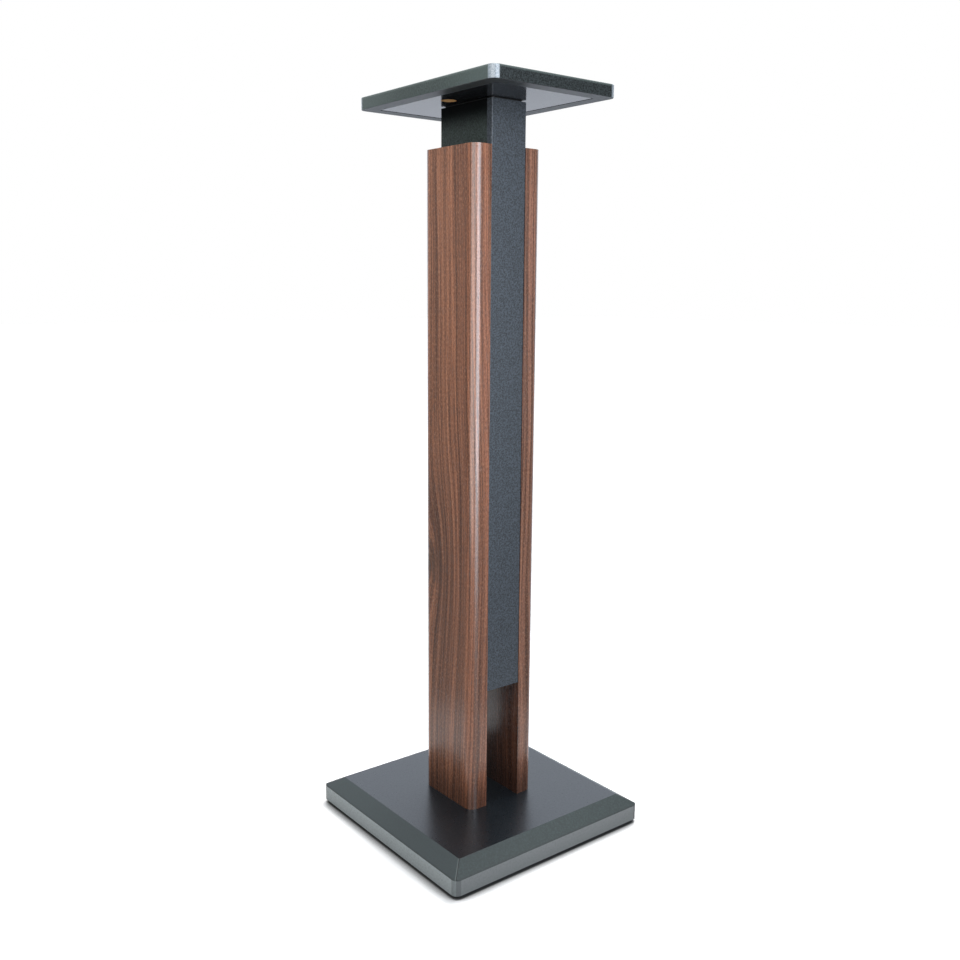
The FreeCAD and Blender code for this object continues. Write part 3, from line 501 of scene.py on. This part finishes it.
def metal(name, dark, light, roughness):
    """Plated or bare metal with a slight mottle and fine turned scratches."""
    s = Surface(name)
    clouds = s.noise(260.0, 4.0, 0.65)
    lines = s.noise(1.0, 2.0, 0.6, at=s.stretched(300.0, 300.0, 5200.0))
    rough = s.add(roughness, s.times(s.add(clouds, lines), 0.1))
    return s.finish(colour=s.mix(clouds, dark, light), metallic=1.0, roughness=rough,
                    normal=s.bump(lines, 0.02 * MM, 0.4))


def paint(name, dark, light, roughness):
    """Powder-coated sheet steel with its fine orange-peel surface."""
    s = Surface(name)
    peel = s.noise(1100.0, 2.0, 0.5)
    colour = s.mix(s.noise(90.0, 3.0, 0.6), dark, light)
    return s.finish(colour=colour, roughness=roughness, normal=s.bump(peel, 0.08 * MM, 0.6))


def moulded(name, dark, light, roughness, scale):
    """Moulded rubber or plastic with a spark-eroded texture."""
    s = Surface(name)
    texture = s.noise(scale, 3.0, 0.7)
    colour = s.mix(s.noise(140.0, 3.0, 0.6), dark, light)
    rough = s.add(roughness, s.times(texture, 0.12))
    return s.finish(colour=colour, roughness=rough, normal=s.bump(texture, 0.06 * MM, 0.6))


# Materials of the nodes -----------------------------------------------------------------

WALNUT = walnut()
BASE_VINYL = base_vinyl()
# Painted light: the front and the side copies of this one vinyl are painted in different colours for the
# light on each face, the front lighter and bluer, the sides darker and greener.
FRONT_VINYL = leather_vinyl("front_leather_vinyl", srgb(30, 35, 41), srgb(68, 77, 87), 0.42, 1.5, 0.0)
SIDE_VINYL = leather_vinyl("side_leather_vinyl", srgb(28, 36, 34), srgb(58, 70, 66), 0.5, 1.35, 0.95)
PLATFORM_VINYL = platform_vinyl()
UNDERSIDE = platform_underside()
FIBREBOARD = fibreboard()
BEECH = beech()
ZINC = metal("zinc_plated_steel", srgb(150, 153, 158), srgb(196, 198, 202), 0.26)
BLACK_STEEL = metal("blackened_steel", srgb(30, 31, 33), srgb(58, 59, 61), 0.32)
BRASS = metal("brass", srgb(178, 140, 70), srgb(214, 178, 104), 0.24)
SHEET_STEEL = paint("black_sheet_steel", srgb(16, 17, 18), srgb(26, 27, 28), 0.4)
NYLON = moulded("black_nylon", srgb(20, 21, 22), srgb(36, 37, 39), 0.42, 2600.0)
RUBBER = moulded("black_rubber", srgb(22, 22, 22), srgb(38, 38, 37), 0.7, 1800.0)

NODE_MATERIALS = {
    "base_board": BASE_VINYL,
    "left_side_panel": WALNUT,
    "right_side_panel": WALNUT,
    "channel_front_board": FRONT_VINYL,
    "channel_left_board": SIDE_VINYL,
    "channel_right_board": SIDE_VINYL,
    "channel_rear_cover": SIDE_VINYL,
    "channel_top_block": FIBREBOARD,
    "channel_bottom_block": FIBREBOARD,
    "top_fixing_plate": SHEET_STEEL,
    "platform_backing": UNDERSIDE,
    "platform_board": PLATFORM_VINYL,
    "base_dowels": BEECH,
    "base_bolts": BLACK_STEEL,
    "side_bolts": BLACK_STEEL,
    "top_bolts": BLACK_STEEL,
    "base_washers": ZINC,
    "side_washers": ZINC,
    "top_washers": ZINC,
    "rear_cover_screws": BLACK_STEEL,
    "foot_inserts": BRASS,
    "panel_bottom_inserts": ZINC,
    "side_panel_inserts": ZINC,
    "platform_inserts": ZINC,
}
# The pieces of a foot are named foot_front_left_pad and so on.
FOOT_MATERIALS = {"pad": NYLON, "sole": RUBBER, "stem": ZINC}


def dress_nodes():
    for name, item in parts.items():
        material = NODE_MATERIALS.get(name) or FOOT_MATERIALS[name.rsplit("_", 1)[1]]
        item.data.materials.clear()
        item.data.materials.append(material)


# Studio ---------------------------------------------------------------------------------

# Levels are of light, where 1 is white. The world and the floor look one way to the camera, light
# the stand in another, and show in its shine in a third: a dark room with a white table under the
# stand, and a white backdrop behind it.
WORLD_LEVEL = 0.3
ROOM_LEVEL = 0.26
BACKDROP_LEVEL = 1.2
BACKDROP_TINT = (0.95, 1.01, 1.13, 1.0)
BACKDROP_AZIMUTH = Vector((math.sin(CAMERA_YAW), math.cos(CAMERA_YAW), 0.1)).normalized()
BACKDROP_REACH = (0.2, 0.75)

FLOOR_SIDE = 40.0
FLOOR_LEVEL = 0.4
FAR_FLOOR_LEVEL = 0.9
TABLE_LEVEL = 0.8
TABLE_REACH = (0.36, 0.48)
# The stretch of floor that runs out under the key lamp shows bright as well.
KEY_FLOOR_LEVEL = 0.8
KEY_FLOOR_AZIMUTH = (0.0, -1.0, 0.0)
KEY_FLOOR_REACH = (0.9, 0.98)

# Painted contact shadow: the floor as the camera sees it is darkened where the stand hides much of the sky
# from it.
FLOOR_SEEN = 1.24
CONTACT_SEEN = 0.06 * FLOOR_SEEN
CONTACT_REACH = 42 * MM
CONTACT_OPENNESS = (0.28, 0.84)

COOL_LIGHT = (0.92, 1.0, 1.1)
PLAIN_LIGHT = (1.0, 1.0, 1.0)


def floor_material():
    """A matt floor whose level depends on how a ray comes to it."""
    s = Surface("studio_floor")
    s.tree.nodes.remove(s.shader)
    direct, bent = s.rays()
    ground = s.vector(s.x, s.y, 0.0)
    heading = s.vector_math("NORMALIZE", ground)
    facing = s.vector_math("DOT_PRODUCT", heading, BACKDROP_AZIMUTH)
    under_key = s.vector_math("DOT_PRODUCT", heading, KEY_FLOOR_AZIMUTH)
    far = s.math("MAXIMUM", s.between(facing, *BACKDROP_REACH, ROOM_LEVEL, FAR_FLOOR_LEVEL),
                 s.between(under_key, *KEY_FLOOR_REACH, ROOM_LEVEL, KEY_FLOOR_LEVEL))
    shine = s.between(s.vector_math("LENGTH", ground), *TABLE_REACH, TABLE_LEVEL, far)
    tint = s.mix(s.between(facing, *BACKDROP_REACH), WHITE, BACKDROP_TINT)
    openness = s.node("ShaderNodeAmbientOcclusion", {"Distance": CONTACT_REACH}).outputs["AO"]
    seen = s.between(openness, *CONTACT_OPENNESS, CONTACT_SEEN, FLOOR_SEEN)
    level = s.layered(
        (FLOOR_LEVEL, FLOOR_LEVEL, FLOOR_LEVEL, 1.0),
        (bent, s.mix(1.0, tint, shine, "MULTIPLY")),
        (direct, seen))
    output = next(item for item in s.tree.nodes if item.type == "OUTPUT_MATERIAL")
    s.feed(output.inputs["Surface"], s.node("ShaderNodeBsdfDiffuse", (level,)).outputs[0])
    return s.material


def make_floor():
    half = FLOOR_SIDE / 2
    corners = [(-half, -half, 0), (half, -half, 0), (half, half, 0), (-half, half, 0)]
    mesh = bpy.data.meshes.new("studio_floor")
    mesh.from_pydata(corners, [], [(0, 1, 2, 3)])
    mesh.materials.append(floor_material())
    floor = bpy.data.objects.new("studio_floor", mesh)
    bpy.context.scene.collection.objects.link(floor)


def make_world():
    """White for the camera, a backdrop and a darker room in reflections, and a plain soft light."""
    world = bpy.data.worlds.new("studio")
    world.use_nodes = True
    s = Shading(world.node_tree)
    direct, bent = s.rays()
    heading = s.node("ShaderNodeTexCoord").outputs["Generated"]
    facing = s.vector_math("DOT_PRODUCT", heading, BACKDROP_AZIMUTH)
    shine = s.between(facing, *BACKDROP_REACH, ROOM_LEVEL, BACKDROP_LEVEL, smooth=False)
    level = s.between(bent, 0.0, 1.0, WORLD_LEVEL, shine, smooth=False)
    level = s.between(direct, 0.0, 1.0, level, 1.0, smooth=False)
    tinted = s.between(facing, *BACKDROP_REACH, 0.0, bent, smooth=False)
    background = s.tree.nodes["Background"]
    s.feed(background.inputs["Color"], s.mix(tinted, WHITE, BACKDROP_TINT))
    s.feed(background.inputs["Strength"], level)
    bpy.context.scene.world = world


def sky_lamp(name, towards, level, angle):
    """A distant soft lamp that lights a white face turned towards it to the given level."""
    data = bpy.data.lights.new(name, "SUN")
    data.energy = level * math.pi
    data.angle = angle
    lamp = bpy.data.objects.new(name, data)
    lamp.rotation_euler = Vector(towards).to_track_quat("Z", "Y").to_euler()
    bpy.context.scene.collection.objects.link(lamp)


def softbox(name, azimuth, distance, height, width, tall, radiance, colour, shines):
    """An upright rectangular lamp of one radiance all over, facing the stand. Azimuth 0 is at -Y.

    It shines in the surfaces as a reflection and doesn't light them, or the other way round."""
    data = bpy.data.lights.new(name, "AREA")
    data.color = colour
    data.shape = "RECTANGLE"
    data.size = width
    data.size_y = tall
    data.energy = radiance * math.pi * width * tall
    lamp = bpy.data.objects.new(name, data)
    turn = math.radians(azimuth)
    outward = Vector((math.sin(turn), -math.cos(turn), 0))
    lamp.location = outward * distance + Vector((0, 0, height))
    lamp.rotation_euler = outward.to_track_quat("Z", "Y").to_euler()
    lamp.visible_camera = False
    lamp.visible_diffuse = not shines
    lamp.visible_glossy = shines
    bpy.context.scene.collection.objects.link(lamp)


def make_lamps():
    sky_lamp("overhead", towards=(0.32, 0.14, 1.0), level=0.7, angle=math.radians(30))
    softbox("key_light", azimuth=-2, distance=1.6, height=1.05, width=1.2, tall=1.2,
            radiance=2.7, colour=COOL_LIGHT, shines=False)
    softbox("fill_light", azimuth=-62, distance=1.3, height=1.45, width=1.2, tall=1.2,
            radiance=3.5, colour=PLAIN_LIGHT, shines=False)
    softbox("key_sheen", azimuth=-3, distance=1.0, height=0.76, width=0.68, tall=1.0,
            radiance=7.4, colour=COOL_LIGHT, shines=True)
    softbox("key_sheen_low", azimuth=-3, distance=1.0, height=0.15, width=0.68, tall=0.22,
            radiance=3.4, colour=COOL_LIGHT, shines=True)
    softbox("fill_sheen", azimuth=-58, distance=1.3, height=0.95, width=1.2, tall=1.7,
            radiance=3.6, colour=PLAIN_LIGHT, shines=True)
    softbox("room_sheen", azimuth=38, distance=1.4, height=0.6, width=0.9, tall=0.6,
            radiance=0.25, colour=COOL_LIGHT, shines=True)


make_camera()
make_world()
make_floor()
make_lamps()
dress_nodes()
bpy.context.scene.view_settings.view_transform = "Standard"
